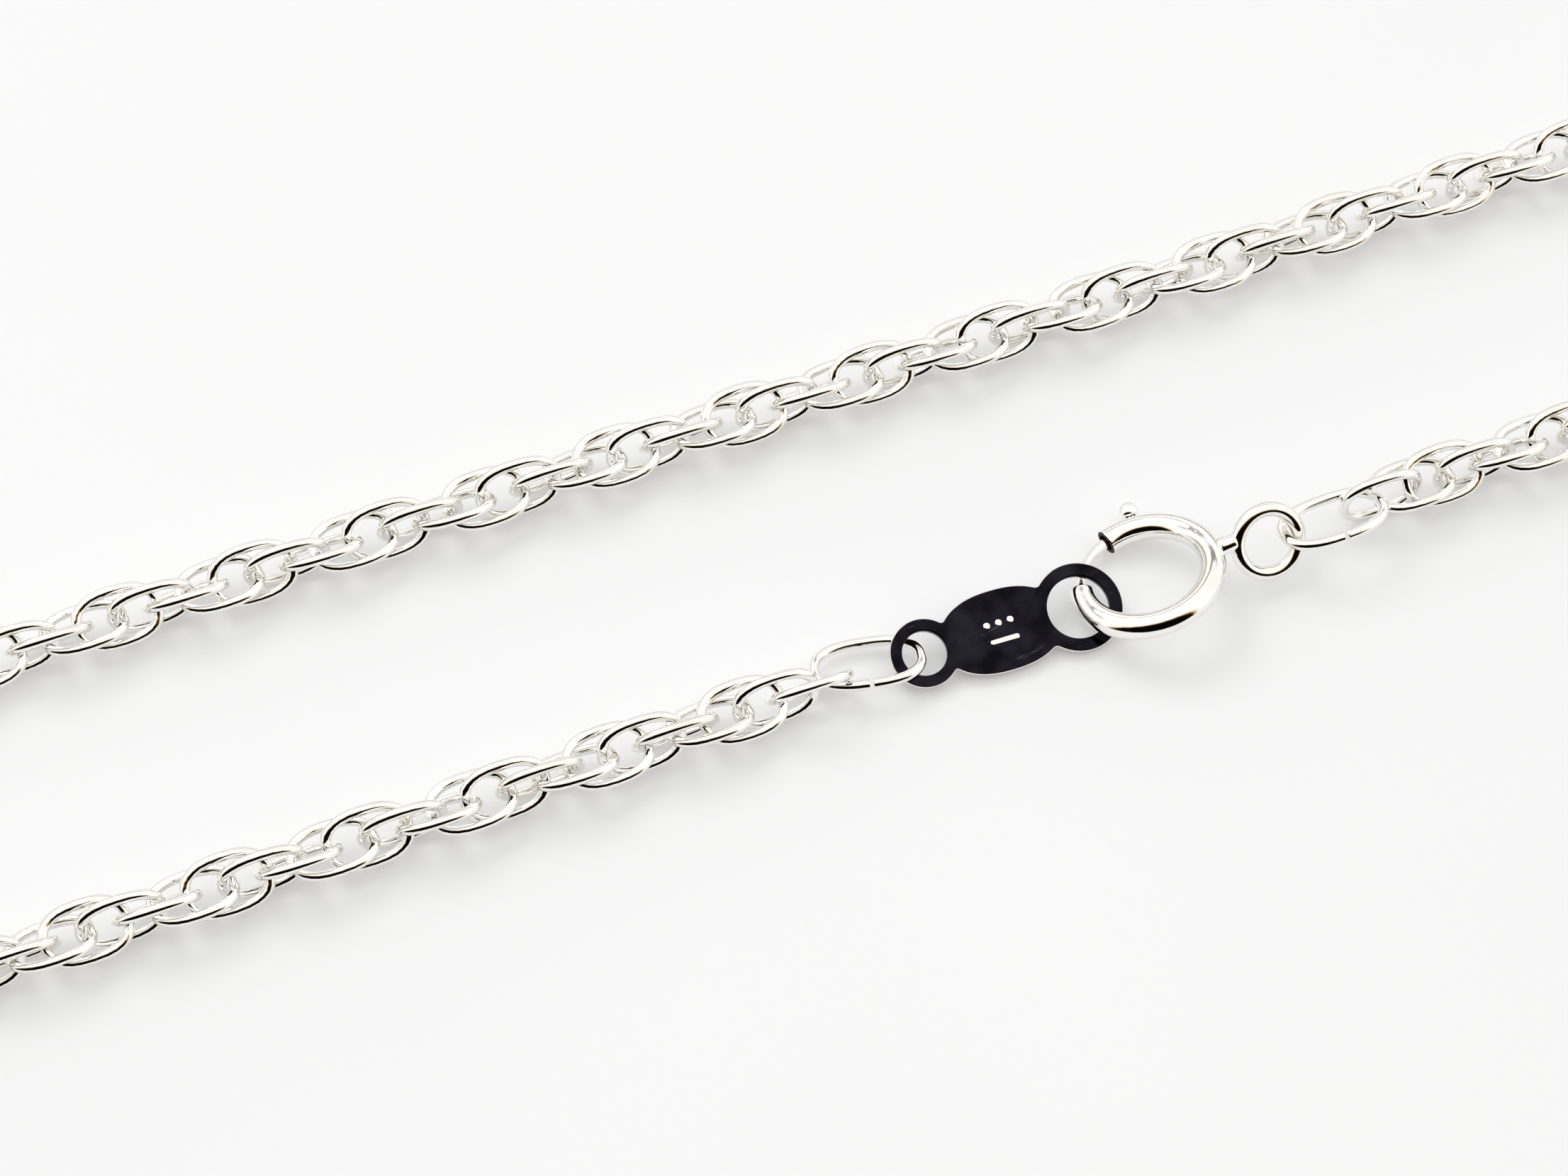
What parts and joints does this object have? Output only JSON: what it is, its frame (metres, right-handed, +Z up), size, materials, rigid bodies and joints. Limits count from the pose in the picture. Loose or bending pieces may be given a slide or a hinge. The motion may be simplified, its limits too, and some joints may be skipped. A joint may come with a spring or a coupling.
{
  "type": "rope chain necklace",
  "caption": "Closed rope chain necklace of interlinked oval wire links, fastened by a spring ring with a sliding thumb bolt, a small tag plate and two oval rings.",
  "frame": {"origin": "on the surface that the necklace lies on, at the middle of its box in X and Y", "axes": "+X along the two straight runs, towards the rope's first link; +Y from the run with the fastener to the plain run; +Z up"},
  "size_m": [0.1939, 0.0194, 0.0034],
  "materials": {
    "silver": "polished sterling silver",
    "black_plating": "polished black plating over silver"
  },
  "bodies": {
    "necklace": {"rope_a": "silver", "rope_b": "silver", "spring_ring": "silver", "tag_plate": "black_plating", "tag_ring": "silver", "end_link": "silver"},
    "bolt": {"bolt": "silver"}
  },
  "joints": [
    {"name": "bolt_slide", "type": "hinge", "parent": "necklace", "child": "bolt", "pos_m": [0.01475, -0.00629, 0.0016], "axis": [-0.1736, 0.2715, 0.9467], "range_deg": [-54, 0], "stiffness_Nm_per_rad": 0.002, "springref_deg": 28.65}
  ]
}
